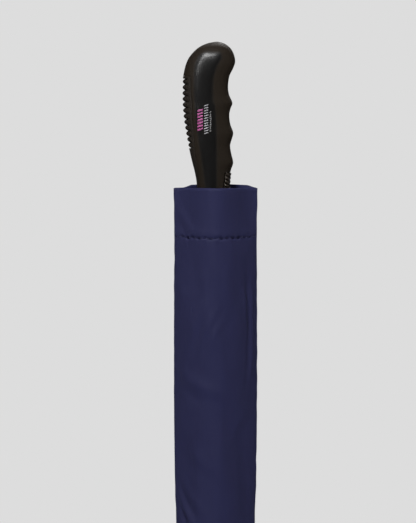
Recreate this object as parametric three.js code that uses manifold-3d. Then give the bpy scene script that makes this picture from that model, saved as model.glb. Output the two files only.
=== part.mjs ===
// Automatic golf umbrella, closed, in its pull-off fabric sleeve.
// Millimetres. +Z runs along the shaft towards the top of the handle, +X is the finger side of the
// handle and -X its palm side. The origin is on the shaft's axis in the middle of the grip.
import * as THREE from 'three';
import { mergeVertices } from 'three/addons/utils/BufferGeometryUtils.js';
import Module from 'manifold-3d';

// ---- driving dimensions -----------------------------------------------------------------------
const GAP = 0.3;

const HANDLE_TOP = 62;
const HANDLE_END = -75;
const HANDLE_POWER = 2.3;
const PIN_RADIUS = 1.5;
const PIN_HALF_LENGTH = 12;
const PIN_Z = 14;

const TOOTH_COUNT = 12;
const TOOTH_PITCH = 4.73;
const TOOTH_DEPTH = 1.7;
const STRIP_TOP = 32;
const STRIP_HALF_WIDTH = 12.5;
const STRIP_FLOOR_X = -14;

const BUTTON_TOP = -45;
const BUTTON_END = -68;
const BUTTON_HALF_WIDTH = 10;
const BUTTON_THICKNESS = 2.2;
const BUTTON_WELL_X = 3.4;
const BUTTON_PROUD = 0.3;
const CHEVRON_PITCH = 3.1;
const CHEVRON_DEPTH = 0.5;

const SHAFT_RADIUS = 7;
const SHAFT_WALL = 1.4;
const SHAFT_TOP = 38;
const SHAFT_END = -840;
const RUNNING_GAP = 0.35;
const SPRING_OUTER = 9.4;

const LATCH_HALF_WIDTH = 1.7;
const LATCH_BACK_X = 2.6;
const LATCH_FACE_X = 4.4;
const LATCH_TOP = -52;
const LATCH_END = -124;
const LATCH_STUB_Z = -56;
const LATCH_NOSE_Z = -119;
const LATCH_STUB_HALF_HEIGHT = 2;
const SLOT_HALF_WIDTH = 2.2;
const LATCH_SPRING_RADIUS = 1.4;

const RIB_COUNT = 8;
const CROWN_Z = -822;
const CROWN_HINGE_RADIUS = 9;
const INNER_RIB = 320;
const OUTER_RIB = 400;
const KNUCKLE_RADIUS = 12;
const RIB_TIP_RADIUS = 14;
const RIB_THICK = 1.3;
const RIB_THIN = 1.0;
const HINGE_SPACE = 1.2;
const HINGE_WIRE = 0.5;
const HINGE_WIRE_ROOM = 0.9;
const NOTCH_FIN_RADIUS = 10.6;
const NOTCH_FIN_HALF_WIDTH = 0.8;
const NOTCH_FLANGE_RADIUS = 11.8;
const CAP_RADIUS = 18;
const CAP_HEIGHT = 3.6;

const STRETCHER_RISE = 372;
const STRETCHER_THICK = 1.0;
const STRETCHER_OFFSET = 4.2;
const RUNNER_HINGE_RADIUS = 11;
const RUNNER_TOP = -112;
const RUNNER_END = -156;
const RUNNER_TUBE = 9.4;
const RUNNER_FLANGE = 12.3;

const FERRULE_END = -898;
const TIP_END = -912;

const CLOTH = 1.2;
const VENT_OVERLAP = 30;
const VENT_RADIUS_CROWN = 11;
const VENT_RADIUS_EDGE = 15.8;
const GORE_RADIUS_VENT = 14;
const GORE_RADIUS_HEM = 15.8;
const GORE_BELOW_KNUCKLE = 10;
const GORE_PAST_TIP = 3;

const SLEEVE_CENTRE_X = 1;
const SLEEVE_HALF_WIDTH = 34;
const SLEEVE_HALF_DEPTH = 27;
const SLEEVE_RIM = -57.4;
const SLEEVE_HEM = 40;
const HEM_THICKNESS = 1.8;
const SLEEVE_SHOULDER = -846;
const SLEEVE_END = -882;
const EYELET_RADIUS = 12;
const EYELET_BORE = 7.6;
const THROAT_RADIUS = 14.5;
const SLEEVE_LEVELS = 12;
const STRAIGHT_LEVELS = 4;

// ---- materials --------------------------------------------------------------------------------
const paint = (color, roughness, metalness = 0) =>
  new THREE.MeshStandardMaterial({ color, roughness, metalness });
const handlePlastic = paint(0x161514, 0.42);
const gripRubber = paint(0x191817, 0.6);
const buttonPlastic = paint(0x1c1b1a, 0.45);
const fibreglass = paint(0x101113, 0.35);
const blackPlastic = paint(0x151617, 0.5);
const steel = paint(0xb4b6b8, 0.3, 1);
const canopyCloth = paint(0x24274a, 0.8);
const sleeveCloth = paint(0x292b47, 0.85);
const tipRubber = paint(0x121212, 0.7);

// ---- solid helpers ----------------------------------------------------------------------------
const wasm = await Module();
wasm.setup();

function geometryOf(points, triangles) {
  const geometry = new THREE.BufferGeometry();
  geometry.setAttribute('position', new THREE.Float32BufferAttribute(points.flat(), 3));
  geometry.setIndex(triangles.flat());
  return geometry;
}

function bare(geometry) {
  const plain = geometry.clone();
  plain.deleteAttribute('normal');
  plain.deleteAttribute('uv');
  return mergeVertices(plain, 1e-4);
}

function solidOf(geometry) {
  const merged = bare(geometry);
  return new wasm.Manifold(new wasm.Mesh({
    numProp: 3,
    vertProperties: new Float32Array(merged.attributes.position.array),
    triVerts: new Uint32Array(merged.index.array),
  }));
}

function geometryFrom(solid) {
  const mesh = solid.getMesh();
  const geometry = new THREE.BufferGeometry();
  geometry.setAttribute('position', new THREE.Float32BufferAttribute(mesh.vertProperties, 3));
  geometry.setIndex(Array.from(mesh.triVerts));
  return geometry;
}

// A stack of equal closed rings, listed from the top down, with a fan over each end.
function loft(rings) {
  const sides = rings[0].length;
  const points = rings.flat();
  const triangles = [];
  for (let level = 0; level + 1 < rings.length; level += 1) {
    for (let side = 0; side < sides; side += 1) {
      const next = (side + 1) % sides;
      const a = level * sides + side;
      const b = level * sides + next;
      triangles.push([a, a + sides, b], [b, a + sides, b + sides]);
    }
  }
  const middle = (ring) => [0, 1, 2].map((k) => ring.reduce((sum, p) => sum + p[k], 0) / sides);
  const last = (rings.length - 1) * sides;
  points.push(middle(rings[0]), middle(rings[rings.length - 1]));
  for (let side = 0; side < sides; side += 1) {
    const next = (side + 1) % sides;
    triangles.push([points.length - 2, side, next], [points.length - 1, last + next, last + side]);
  }
  return geometryOf(points, triangles);
}

// A thick sheet: outer(u, v) and inner(u, v) are its two faces, u and v run from 0 to 1.
function sheet(across, along, outer, inner, wrap = false) {
  const columns = wrap ? across : across + 1;
  const points = [];
  for (const face of [outer, inner]) {
    for (let j = 0; j <= along; j += 1) {
      for (let i = 0; i < columns; i += 1) {
        points.push(face(i / across, j / along));
      }
    }
  }
  const size = columns * (along + 1);
  const at = (i, j, side) => side * size + j * columns + (i % columns);
  const triangles = [];
  const quad = (a, b, c, d) => triangles.push([a, b, c], [a, c, d]);
  for (let j = 0; j < along; j += 1) {
    for (let i = 0; i < across; i += 1) {
      quad(at(i, j, 0), at(i, j + 1, 0), at(i + 1, j + 1, 0), at(i + 1, j, 0));
      quad(at(i, j, 1), at(i + 1, j, 1), at(i + 1, j + 1, 1), at(i, j + 1, 1));
    }
  }
  for (let i = 0; i < across; i += 1) {
    quad(at(i, 0, 0), at(i + 1, 0, 0), at(i + 1, 0, 1), at(i, 0, 1));
    quad(at(i, along, 0), at(i, along, 1), at(i + 1, along, 1), at(i + 1, along, 0));
  }
  for (let j = 0; !wrap && j < along; j += 1) {
    quad(at(0, j, 0), at(0, j, 1), at(0, j + 1, 1), at(0, j + 1, 0));
    quad(at(across, j, 0), at(across, j + 1, 0), at(across, j + 1, 1), at(across, j, 1));
  }
  return geometryOf(points, triangles);
}

// A turned solid: radius and height pairs, spun about Z.
function turned(profile, segments = 24) {
  const points = profile.map(([radius, z]) => new THREE.Vector2(radius, z));
  return new THREE.LatheGeometry(points, segments).rotateX(Math.PI / 2);
}

function tube(inner, outer, top, end, segments = 24) {
  return turned([[inner, end], [outer, end], [outer, top], [inner, top], [inner, end]], segments);
}

function block(x0, x1, halfWidth, z0, z1) {
  const box = new THREE.BoxGeometry(x1 - x0, 2 * halfWidth, z1 - z0);
  return box.translate((x0 + x1) / 2, 0, (z0 + z1) / 2);
}

// A straight round rod between two points.
function rod(from, to, startRadius, endRadius, sides = 8) {
  const start = new THREE.Vector3(...from);
  const step = new THREE.Vector3(...to).sub(start);
  const geometry = new THREE.CylinderGeometry(endRadius, startRadius, step.length(), sides);
  const turn = new THREE.Quaternion().setFromUnitVectors(
    new THREE.Vector3(0, 1, 0), step.clone().normalize());
  geometry.applyQuaternion(turn);
  return geometry.translate(...start.addScaledVector(step, 0.5).toArray());
}

// A smooth curve through [z, value] points, read back by height.
function profileThrough(points) {
  const curve = new THREE.SplineCurve(points.map(([z, value]) => new THREE.Vector2(z, value)));
  const samples = curve.getPoints(points.length * 16);
  return (z) => {
    const after = samples.findIndex((point) => point.x <= z);
    if (after < 0) return samples[samples.length - 1].y;
    if (after === 0) return samples[0].y;
    const high = samples[after - 1];
    const low = samples[after];
    return low.y + (high.y - low.y) * (z - low.x) / (high.x - low.x);
  };
}

const model = new THREE.Group();

function piece(name, geometry, material) {
  const mesh = new THREE.Mesh(geometry, material);
  mesh.name = name;
  model.add(mesh);
}

// ---- handle -----------------------------------------------------------------------------------
// The palm side swells in one long curve. The finger side has a nose and three finger rests.
const palmSide = profileThrough([
  [62, 1], [60.5, -6], [57, -13.4], [50.4, -19.9], [44, -23.2], [37, -24.9], [30, -25.7], [14, -25.9],
  [0, -24.9], [-12, -23.1], [-24, -20.8], [-35, -18.3], [-45, -15.8], [-55, -14.3], [-76, -13.6],
]);
const fingerSide = profileThrough([
  [62, 3], [60.5, 8], [57, 12.9], [52, 15.8], [46, 17], [40.6, 15.4], [34, 12.3], [26, 11.2],
  [19, 12], [12.3, 14.5], [7.8, 13.3], [2.5, 12.2], [-5, 13], [-12.3, 15.3], [-18.5, 13.9],
  [-23, 12.9], [-29, 13.8], [-36.5, 15.3], [-41.5, 13.9], [-46, 12.9], [-55, 12.2], [-76, 12],
]);
const halfDepth = profileThrough([
  [62, 1.5], [60.5, 6], [57, 10.5], [50, 13.6], [40, 15], [20, 15.4], [0, 15.2], [-20, 14.4],
  [-35, 13.6], [-50, 12.8], [-76, 12.4],
]);

function handleRing(z, palmOut, fingerOut, sides = 28) {
  const palm = palmSide(z) - palmOut;
  const finger = fingerSide(z) + fingerOut;
  const centre = (palm + finger) / 2;
  const halfWidth = (finger - palm) / 2;
  const depth = halfDepth(z);
  const rounded = (value) => Math.sign(value) * Math.abs(value) ** (2 / HANDLE_POWER);
  return Array.from({ length: sides }, (_, side) => {
    const angle = 2 * Math.PI * side / sides;
    return [centre + halfWidth * rounded(Math.cos(angle)), depth * rounded(Math.sin(angle)), z];
  });
}

// Section heights, close together where the top rounds over.
function handleLevels() {
  const crownLevels = [0, 0.4, 1.2, 2.5, 4.5, 7, 10].map((drop) => HANDLE_TOP - drop);
  const start = HANDLE_TOP - 13.5;
  const steps = 34;
  const body = Array.from({ length: steps + 1 }, (_, k) => start + (HANDLE_END - start) * k / steps);
  return [...crownLevels, ...body];
}

// A row of rounded teeth with sharp valleys between them.
function toothHeight(z) {
  return Math.abs(Math.sin(Math.PI * (STRIP_TOP - z) / TOOTH_PITCH)) ** 0.8;
}

const stripEnd = STRIP_TOP - TOOTH_COUNT * TOOTH_PITCH;

function toothedLoft() {
  const levels = [STRIP_TOP + 6];
  for (let tooth = 0; tooth < TOOTH_COUNT; tooth += 1) {
    const top = STRIP_TOP - tooth * TOOTH_PITCH;
    levels.push(top, top - 0.3 * TOOTH_PITCH, top - 0.7 * TOOTH_PITCH);
  }
  levels.push(stripEnd, stripEnd - 6);
  return loft(levels.map((z) => handleRing(z, TOOTH_DEPTH * (toothHeight(z) - 1), 0, 40)));
}

function chevronLoft() {
  const levels = [];
  for (let z = BUTTON_TOP + 4; z > BUTTON_END - 4; z -= CHEVRON_PITCH / 4) {
    levels.push(z);
  }
  return loft(levels.map((z) => {
    const ridge = BUTTON_PROUD + CHEVRON_DEPTH * Math.cos(2 * Math.PI * z / CHEVRON_PITCH);
    return handleRing(z, 0, ridge, 24);
  }));
}

const bore = solidOf(turned([
  [0, HANDLE_END - 5], [SHAFT_RADIUS + GAP, HANDLE_END - 5], [SHAFT_RADIUS + GAP, SHAFT_TOP + 1],
  [0, SHAFT_TOP + 1],
]));
const pinRod = (radius, half) => rod([0, -half, PIN_Z], [0, half, PIN_Z], radius, radius, 16);

const OUTSIDE = 40;
const stripPocket = block(-OUTSIDE, STRIP_FLOOR_X, STRIP_HALF_WIDTH, stripEnd, STRIP_TOP);
const stripRecess = block(
  -OUTSIDE, STRIP_FLOOR_X + GAP, STRIP_HALF_WIDTH + GAP, stripEnd - GAP, STRIP_TOP + GAP);
const buttonBlock = block(BUTTON_WELL_X, OUTSIDE, BUTTON_HALF_WIDTH, BUTTON_END, BUTTON_TOP);
const buttonWell = block(
  BUTTON_WELL_X, OUTSIDE, BUTTON_HALF_WIDTH + GAP, BUTTON_END - GAP, BUTTON_TOP + GAP);
const buttonBack = loft([BUTTON_TOP + 2, (BUTTON_TOP + BUTTON_END) / 2, BUTTON_END - 2].map(
  (z) => handleRing(z, 0, -BUTTON_THICKNESS)));

const handleSolid = solidOf(loft(handleLevels().map((z) => handleRing(z, 0, 0))))
  .subtract(bore)
  .subtract(solidOf(stripRecess))
  .subtract(solidOf(buttonWell))
  .subtract(solidOf(pinRod(PIN_RADIUS + GAP, PIN_HALF_LENGTH + GAP)));
piece('handle_body', geometryFrom(handleSolid), handlePlastic);

const stripSolid = solidOf(toothedLoft()).intersect(solidOf(stripPocket));
piece('back_grip_strip', geometryFrom(stripSolid), gripRubber);

const buttonSolid = solidOf(chevronLoft())
  .intersect(solidOf(buttonBlock))
  .subtract(solidOf(buttonBack));
piece('push_button', geometryFrom(buttonSolid), buttonPlastic);

piece('handle_pin', pinRod(PIN_RADIUS, PIN_HALF_LENGTH), steel);

// ---- shaft and latch --------------------------------------------------------------------------
// The latch bar lies inside the hollow shaft behind a slot. Its stub meets the button's back and its
// nose stands in the slot under the runner.
const stubEnd = fingerSide(LATCH_STUB_Z) - BUTTON_THICKNESS - 2 * GAP;

const slot = block(0, 12, SLOT_HALF_WIDTH, LATCH_END - 2, LATCH_TOP + 2);
const shaftSolid = solidOf(tube(SHAFT_RADIUS - SHAFT_WALL, SHAFT_RADIUS, SHAFT_TOP, SHAFT_END))
  .subtract(solidOf(slot))
  .subtract(solidOf(pinRod(PIN_RADIUS + GAP, PIN_HALF_LENGTH)));
piece('shaft', geometryFrom(shaftSolid), fibreglass);

const latchSolid = solidOf(block(LATCH_BACK_X, LATCH_FACE_X, LATCH_HALF_WIDTH, LATCH_END, LATCH_TOP))
  .add(solidOf(block(LATCH_FACE_X - 0.5, stubEnd, LATCH_HALF_WIDTH,
    LATCH_STUB_Z - LATCH_STUB_HALF_HEIGHT, LATCH_STUB_Z + LATCH_STUB_HALF_HEIGHT)))
  .add(solidOf(block(LATCH_FACE_X - 0.5, SHAFT_RADIUS - 0.2, LATCH_HALF_WIDTH,
    LATCH_NOSE_Z - LATCH_STUB_HALF_HEIGHT, LATCH_NOSE_Z + LATCH_STUB_HALF_HEIGHT)));
piece('latch_plate', geometryFrom(latchSolid), steel);

const springBack = [-(SHAFT_RADIUS - SHAFT_WALL) + 0.6, 0, LATCH_STUB_Z];
const springFront = [LATCH_BACK_X - GAP, 0, LATCH_STUB_Z];
piece('button_spring', rod(springBack, springFront, LATCH_SPRING_RADIUS, LATCH_SPRING_RADIUS), steel);

const runnerBore = SHAFT_RADIUS + RUNNING_GAP;
piece('opening_spring', tube(runnerBore, SPRING_OUTER, HANDLE_END - GAP, RUNNER_TOP + GAP), steel);

// ---- crown, ferrule and tip -------------------------------------------------------------------
const azimuthOf = (index) => 2 * Math.PI * (index + 0.5) / RIB_COUNT;
const polar = (radius, azimuth, z, offset = 0) => [
  radius * Math.cos(azimuth) - offset * Math.sin(azimuth),
  radius * Math.sin(azimuth) + offset * Math.cos(azimuth),
  z,
];

const ring = (radius, wire, z) => new THREE.TorusGeometry(radius, wire, 6, 24).translate(0, 0, z);

const flangeEnd = CROWN_Z - 3.2;
const flangeTop = CROWN_Z - 1.8;
const finTop = CROWN_Z + 5;
let notch = solidOf(tube(SHAFT_RADIUS + GAP, NOTCH_FLANGE_RADIUS, flangeTop, flangeEnd));
for (let index = 0; index < RIB_COUNT; index += 1) {
  const fin = block(
    SHAFT_RADIUS + 2 * GAP, NOTCH_FIN_RADIUS, NOTCH_FIN_HALF_WIDTH, flangeEnd + GAP, finTop);
  notch = notch.add(solidOf(fin.rotateZ(azimuthOf(index) + Math.PI / RIB_COUNT)));
}
notch = notch.subtract(solidOf(ring(CROWN_HINGE_RADIUS, HINGE_WIRE_ROOM, CROWN_Z)));
piece('crown_notch', geometryFrom(notch), blackPlastic);
piece('crown_wire', ring(CROWN_HINGE_RADIUS, HINGE_WIRE, CROWN_Z), steel);

const capTop = flangeEnd - GAP;
const capEnd = capTop - CAP_HEIGHT;
piece('crown_cap', turned([
  [SHAFT_RADIUS + GAP, capEnd], [12, capEnd], [CAP_RADIUS, capTop - 1.2], [CAP_RADIUS, capTop],
  [SHAFT_RADIUS + GAP, capTop], [SHAFT_RADIUS + GAP, capEnd],
]), blackPlastic);

const ferruleTop = capEnd - GAP;
piece('ferrule', turned([
  [0, FERRULE_END], [5.6, FERRULE_END], [6.2, -880], [7.4, -856], [9.6, -842], [10.2, ferruleTop],
  [SHAFT_RADIUS + GAP, ferruleTop], [SHAFT_RADIUS + GAP, SHAFT_END - GAP], [0, SHAFT_END - GAP],
]), blackPlastic);
piece('ferrule_tip', turned([
  [0, TIP_END], [5.4, TIP_END], [6.2, TIP_END + 1], [6.2, FERRULE_END - 2], [5.6, FERRULE_END - GAP],
  [0, FERRULE_END - GAP],
]), tipRubber);

// ---- runner -----------------------------------------------------------------------------------
const runnerHingeZ = CROWN_Z + INNER_RIB + STRETCHER_RISE;
piece('runner_body', turned([
  [runnerBore, RUNNER_END], [8.6, RUNNER_END], [RUNNER_TUBE, RUNNER_END + 2],
  [RUNNER_TUBE, runnerHingeZ + 2.4], [RUNNER_FLANGE, runnerHingeZ + 2.4],
  [RUNNER_FLANGE, runnerHingeZ + 7], [RUNNER_TUBE + 1, runnerHingeZ + 9],
  [RUNNER_TUBE + 0.6, RUNNER_TOP], [runnerBore, RUNNER_TOP], [runnerBore, RUNNER_END],
]), blackPlastic);
const runnerWireRadius = Math.hypot(RUNNER_HINGE_RADIUS, STRETCHER_OFFSET);
piece('runner_wire', ring(runnerWireRadius, HINGE_WIRE, runnerHingeZ), steel);

// ---- ribs, stretchers and canopy --------------------------------------------------------------
const knuckleZ = CROWN_Z + INNER_RIB;
const ribTipZ = knuckleZ + OUTER_RIB;

function clothPanel(index, top, end, radiusAtTop, radiusAtEnd) {
  const edge = GAP / 2 / radiusAtEnd;
  const start = azimuthOf(index) + edge;
  const span = 2 * Math.PI / RIB_COUNT - 2 * edge;
  const face = (extra) => (u, v) => {
    const radius = radiusAtTop + (radiusAtEnd - radiusAtTop) * v + extra;
    return polar(radius, start + span * u, top + (end - top) * v);
  };
  return sheet(4, 1, face(CLOTH), face(0));
}

for (let index = 0; index < RIB_COUNT; index += 1) {
  const number = index + 1;
  const azimuth = azimuthOf(index);
  const slope = (KNUCKLE_RADIUS - CROWN_HINGE_RADIUS) / INNER_RIB;
  piece(`rib_${number}`, rod(
    polar(CROWN_HINGE_RADIUS + slope * HINGE_SPACE, azimuth, CROWN_Z + HINGE_SPACE),
    polar(KNUCKLE_RADIUS, azimuth, knuckleZ - HINGE_SPACE), RIB_THICK, RIB_THICK), fibreglass);
  piece(`rib_end_${number}`, rod(
    polar(KNUCKLE_RADIUS, azimuth, knuckleZ + HINGE_SPACE),
    polar(RIB_TIP_RADIUS, azimuth, ribTipZ), RIB_THICK - 0.1, RIB_THIN), fibreglass);
  piece(`stretcher_${number}`, rod(
    polar(RUNNER_HINGE_RADIUS, azimuth, runnerHingeZ - HINGE_SPACE, STRETCHER_OFFSET),
    polar(KNUCKLE_RADIUS, azimuth, knuckleZ, STRETCHER_OFFSET),
    STRETCHER_THICK, STRETCHER_THICK), fibreglass);
  piece(`vent_gore_${number}`, clothPanel(
    index, knuckleZ + VENT_OVERLAP, CROWN_Z + 1, VENT_RADIUS_EDGE, VENT_RADIUS_CROWN), canopyCloth);
  piece(`gore_${number}`, clothPanel(
    index, ribTipZ + GORE_PAST_TIP, knuckleZ - GORE_BELOW_KNUCKLE, GORE_RADIUS_HEM,
    GORE_RADIUS_VENT), canopyCloth);
}

// ---- sleeve -----------------------------------------------------------------------------------
// Two flat panels sewn along both sides, so the section is a lens with two sharp corners. At the
// shoulder the lens draws in to the eyelet, where the ferrule comes through.
function lensHalf(u, z, inset, side) {
  const narrow = Math.min(1, Math.max(0, (SLEEVE_SHOULDER - z) / (SLEEVE_SHOULDER - SLEEVE_END)));
  const ease = 1 - Math.sqrt(1 - narrow * narrow);
  const halfWidth = SLEEVE_HALF_WIDTH + (THROAT_RADIUS - SLEEVE_HALF_WIDTH) * ease - inset;
  const depth = SLEEVE_HALF_DEPTH + (THROAT_RADIUS - 1 - SLEEVE_HALF_DEPTH) * ease - inset;
  const arcRadius = (halfWidth ** 2 + depth ** 2) / (2 * depth);
  const reach = Math.asin(Math.min(1, halfWidth / arcRadius));
  const angle = reach * (2 * u - 1);
  const centreX = SLEEVE_CENTRE_X * (1 - ease);
  const depthHere = arcRadius * (Math.cos(angle) - Math.cos(reach));
  return [centreX + arcRadius * Math.sin(angle), side * (depthHere + GAP / 2), z];
}

const hemEnd = SLEEVE_RIM - SLEEVE_HEM;

function sleevePanel(side) {
  const top = hemEnd - GAP;
  const zAt = (v) => {
    const level = v * SLEEVE_LEVELS;
    if (level <= STRAIGHT_LEVELS) return top + (SLEEVE_SHOULDER - top) * level / STRAIGHT_LEVELS;
    const turn = (level - STRAIGHT_LEVELS) / (SLEEVE_LEVELS - STRAIGHT_LEVELS) * Math.PI / 2;
    return SLEEVE_SHOULDER + (SLEEVE_END - SLEEVE_SHOULDER) * Math.sin(turn);
  };
  const face = (inset) => (u, v) => lensHalf(side < 0 ? u : 1 - u, zAt(v), inset, side);
  return sheet(14, SLEEVE_LEVELS, face(0), face(CLOTH));
}

function sleeveBand(top, end, thickness) {
  const face = (inset) => (u, v) => {
    const z = top + (end - top) * v;
    const front = u < 0.5;
    const along = front ? 2 * u : 2 - 2 * u;
    const point = lensHalf(along, z, inset, front ? -1 : 1);
    if (along === 0 || along === 1) point[1] = 0;
    return point;
  };
  return sheet(28, 1, face(0), face(thickness), true);
}

piece('sleeve_front', sleevePanel(-1), sleeveCloth);
piece('sleeve_back', sleevePanel(1), sleeveCloth);
piece('sleeve_hem', sleeveBand(SLEEVE_RIM, hemEnd, HEM_THICKNESS), sleeveCloth);
piece('sleeve_eyelet', tube(EYELET_BORE, EYELET_RADIUS, SLEEVE_END + 0.8, SLEEVE_END - 1.2), steel);

export default model;
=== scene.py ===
"""Golf umbrella in its pull-off sleeve: the looks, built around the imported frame.

+Z is up. The origin is on the shaft's axis in the middle of the grip, and +X is the finger side.
Blender's lengths are metres. The object's named sizes are in mm, and MM turns them into metres.
The sizes of the camera, the lights and the stage are in metres.
"""
import math

import bmesh
import bpy
from mathutils import Matrix, Vector, noise


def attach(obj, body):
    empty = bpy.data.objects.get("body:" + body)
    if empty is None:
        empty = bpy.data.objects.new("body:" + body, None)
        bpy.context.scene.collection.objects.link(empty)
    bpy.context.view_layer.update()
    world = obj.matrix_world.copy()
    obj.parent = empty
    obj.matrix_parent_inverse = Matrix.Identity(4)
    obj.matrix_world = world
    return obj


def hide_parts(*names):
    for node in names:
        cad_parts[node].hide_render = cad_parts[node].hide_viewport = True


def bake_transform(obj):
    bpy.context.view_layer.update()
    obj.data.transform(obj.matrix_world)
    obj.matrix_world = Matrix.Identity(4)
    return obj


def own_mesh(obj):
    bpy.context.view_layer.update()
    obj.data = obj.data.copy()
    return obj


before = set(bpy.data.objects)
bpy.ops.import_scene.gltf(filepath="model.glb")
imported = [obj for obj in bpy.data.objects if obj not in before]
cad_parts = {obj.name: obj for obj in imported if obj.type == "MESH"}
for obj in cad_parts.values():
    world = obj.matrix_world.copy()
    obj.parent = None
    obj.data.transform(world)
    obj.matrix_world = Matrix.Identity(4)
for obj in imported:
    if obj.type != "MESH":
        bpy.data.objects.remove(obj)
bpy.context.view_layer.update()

MM = 0.001
RUNNER_TRAVEL = 432

# ---- camera -----------------------------------------------------------------------------------
VIEW_CENTRE = Vector((-5.2, 0, -117.7)) * MM
VIEW_HEIGHT = 429 * MM
CAMERA_DISTANCE = 2.2
CAMERA_Z = 0.044
SENSOR_WIDTH = 36
VIEW_DEPTH = 100


def make_camera():
    data = bpy.data.cameras.new("camera")
    camera = bpy.data.objects.new("camera", data)
    bpy.context.scene.collection.objects.link(camera)
    camera.location = (VIEW_CENTRE.x, -CAMERA_DISTANCE, CAMERA_Z)
    sight = VIEW_CENTRE - camera.location
    camera.rotation_euler = sight.to_track_quat("-Z", "Y").to_euler()
    data.sensor_width = SENSOR_WIDTH
    data.lens = SENSOR_WIDTH * sight.length / VIEW_HEIGHT
    data.clip_end = VIEW_DEPTH
    bpy.context.scene.camera = camera


make_camera()


# ---- mesh helpers -----------------------------------------------------------------------------
def new_object(name, points, faces):
    mesh = bpy.data.meshes.new(name)
    mesh.from_pydata([tuple(p) for p in points], [], faces)
    edit = bmesh.new()
    edit.from_mesh(mesh)
    bmesh.ops.recalc_face_normals(edit, faces=edit.faces)
    edit.to_mesh(mesh)
    edit.free()
    mesh.shade_smooth()
    obj = bpy.data.objects.new(name, mesh)
    bpy.context.scene.collection.objects.link(obj)
    return obj


def joined(name, parts):
    """One mesh from several (points, faces) parts."""
    points, faces = [], []
    for part_points, part_faces in parts:
        base = len(points)
        points.extend(part_points)
        faces.extend(tuple(base + k for k in face) for face in part_faces)
    return new_object(name, points, faces)


def rings_part(rings, closed=False):
    """Equal closed rings in order: capped at both ends, or joined end to end if closed."""
    sides = len(rings[0])
    points = [p for ring in rings for p in ring]
    faces = []
    spans = len(rings) if closed else len(rings) - 1
    for level in range(spans):
        low, high = level * sides, (level + 1) % len(rings) * sides
        for side in range(sides):
            after = (side + 1) % sides
            faces.append((low + side, low + after, high + after, high + side))
    if not closed:
        faces.append(tuple(range(sides)))
        faces.append(tuple((len(rings) - 1) * sides + side for side in range(sides)))
    return points, faces


def sheet_part(across, along, outer, inner, wrap=False):
    """A thick sheet: outer(u, v) and inner(u, v) are its faces, with u and v from 0 to 1.

    With wrap it goes once round, and its two sides are joined.
    """
    columns = across if wrap else across + 1
    points = []
    for face in (outer, inner):
        for j in range(along + 1):
            points.extend(face(i / across, j / along) for i in range(columns))
    size = columns * (along + 1)

    def at(i, j, side):
        return side * size + j * columns + i % columns

    faces = []
    for j in range(along):
        for i in range(across):
            faces.append((at(i, j, 0), at(i, j + 1, 0), at(i + 1, j + 1, 0), at(i + 1, j, 0)))
            faces.append((at(i, j, 1), at(i + 1, j, 1), at(i + 1, j + 1, 1), at(i, j + 1, 1)))
    for i in range(across):
        for j in (0, along):
            faces.append((at(i, j, 0), at(i + 1, j, 0), at(i + 1, j, 1), at(i, j, 1)))
    if not wrap:
        for j in range(along):
            for i in (0, across):
                faces.append((at(i, j, 0), at(i, j + 1, 0), at(i, j + 1, 1), at(i, j, 1)))
    return points, faces


def turned_part(profile):
    """A solid of revolution about Z. profile is a closed loop of (radius, z), off the axis."""
    segments = 56
    rings = []
    for step in range(segments):
        angle = 2 * math.pi * step / segments
        rings.append([Vector((r * math.cos(angle), r * math.sin(angle), z)) for r, z in profile])
    return rings_part(rings, closed=True)


def tube_along(path, radius_at, sides=12):
    """A round rod along a path, with flat ends. radius_at(share) is its radius."""
    rings = []
    count = len(path)
    side_axis = (path[1] - path[0]).orthogonal().normalized()
    for k, point in enumerate(path):
        ahead = (path[min(k + 1, count - 1)] - path[max(k - 1, 0)]).normalized()
        side_axis = (side_axis - ahead * side_axis.dot(ahead)).normalized()
        other = ahead.cross(side_axis)
        radius = radius_at(k / (count - 1))
        rings.append([
            point + radius * (math.cos(2 * math.pi * s / sides) * side_axis
                              + math.sin(2 * math.pi * s / sides) * other)
            for s in range(sides)])
    return rings_part(rings)


def rounded_box_part(centre, size, axes, bevel):
    """A box with chamfered edges, turned to the given axes. Its size and bevel are in mm."""
    edit = bmesh.new()
    bmesh.ops.create_cube(edit, size=1)
    for vertex in edit.verts:
        vertex.co = Vector(c * s * MM for c, s in zip(vertex.co, size))
    bmesh.ops.bevel(edit, geom=list(edit.edges), offset=bevel * MM, segments=2,
                    affect="EDGES")
    turn = Matrix(axes).transposed()
    edit.verts.index_update()
    points = [centre + turn @ vertex.co for vertex in edit.verts]
    faces = [tuple(vertex.index for vertex in face.verts) for face in edit.faces]
    edit.free()
    return points, faces


def smoothstep(t):
    t = max(0.0, min(1.0, t))
    return t * t * (3 - 2 * t)


def inverse_smoothstep(share):
    return 0.5 - math.sin(math.asin(1 - 2 * share) / 3)


def smoothstep_slope(t):
    return 6 * t * (1 - t)


def rounded_edge(share):
    """The height of a quarter-round edge: 0 at its foot, where share is 0, and 1 at share 1."""
    return math.sqrt(max(0, 1 - (1 - max(0, min(1, share))) ** 2))


def bell(value, centre, width):
    return math.exp(-((value - centre) / width) ** 2)


def mix(a, b, share):
    return a + (b - a) * share


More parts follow.
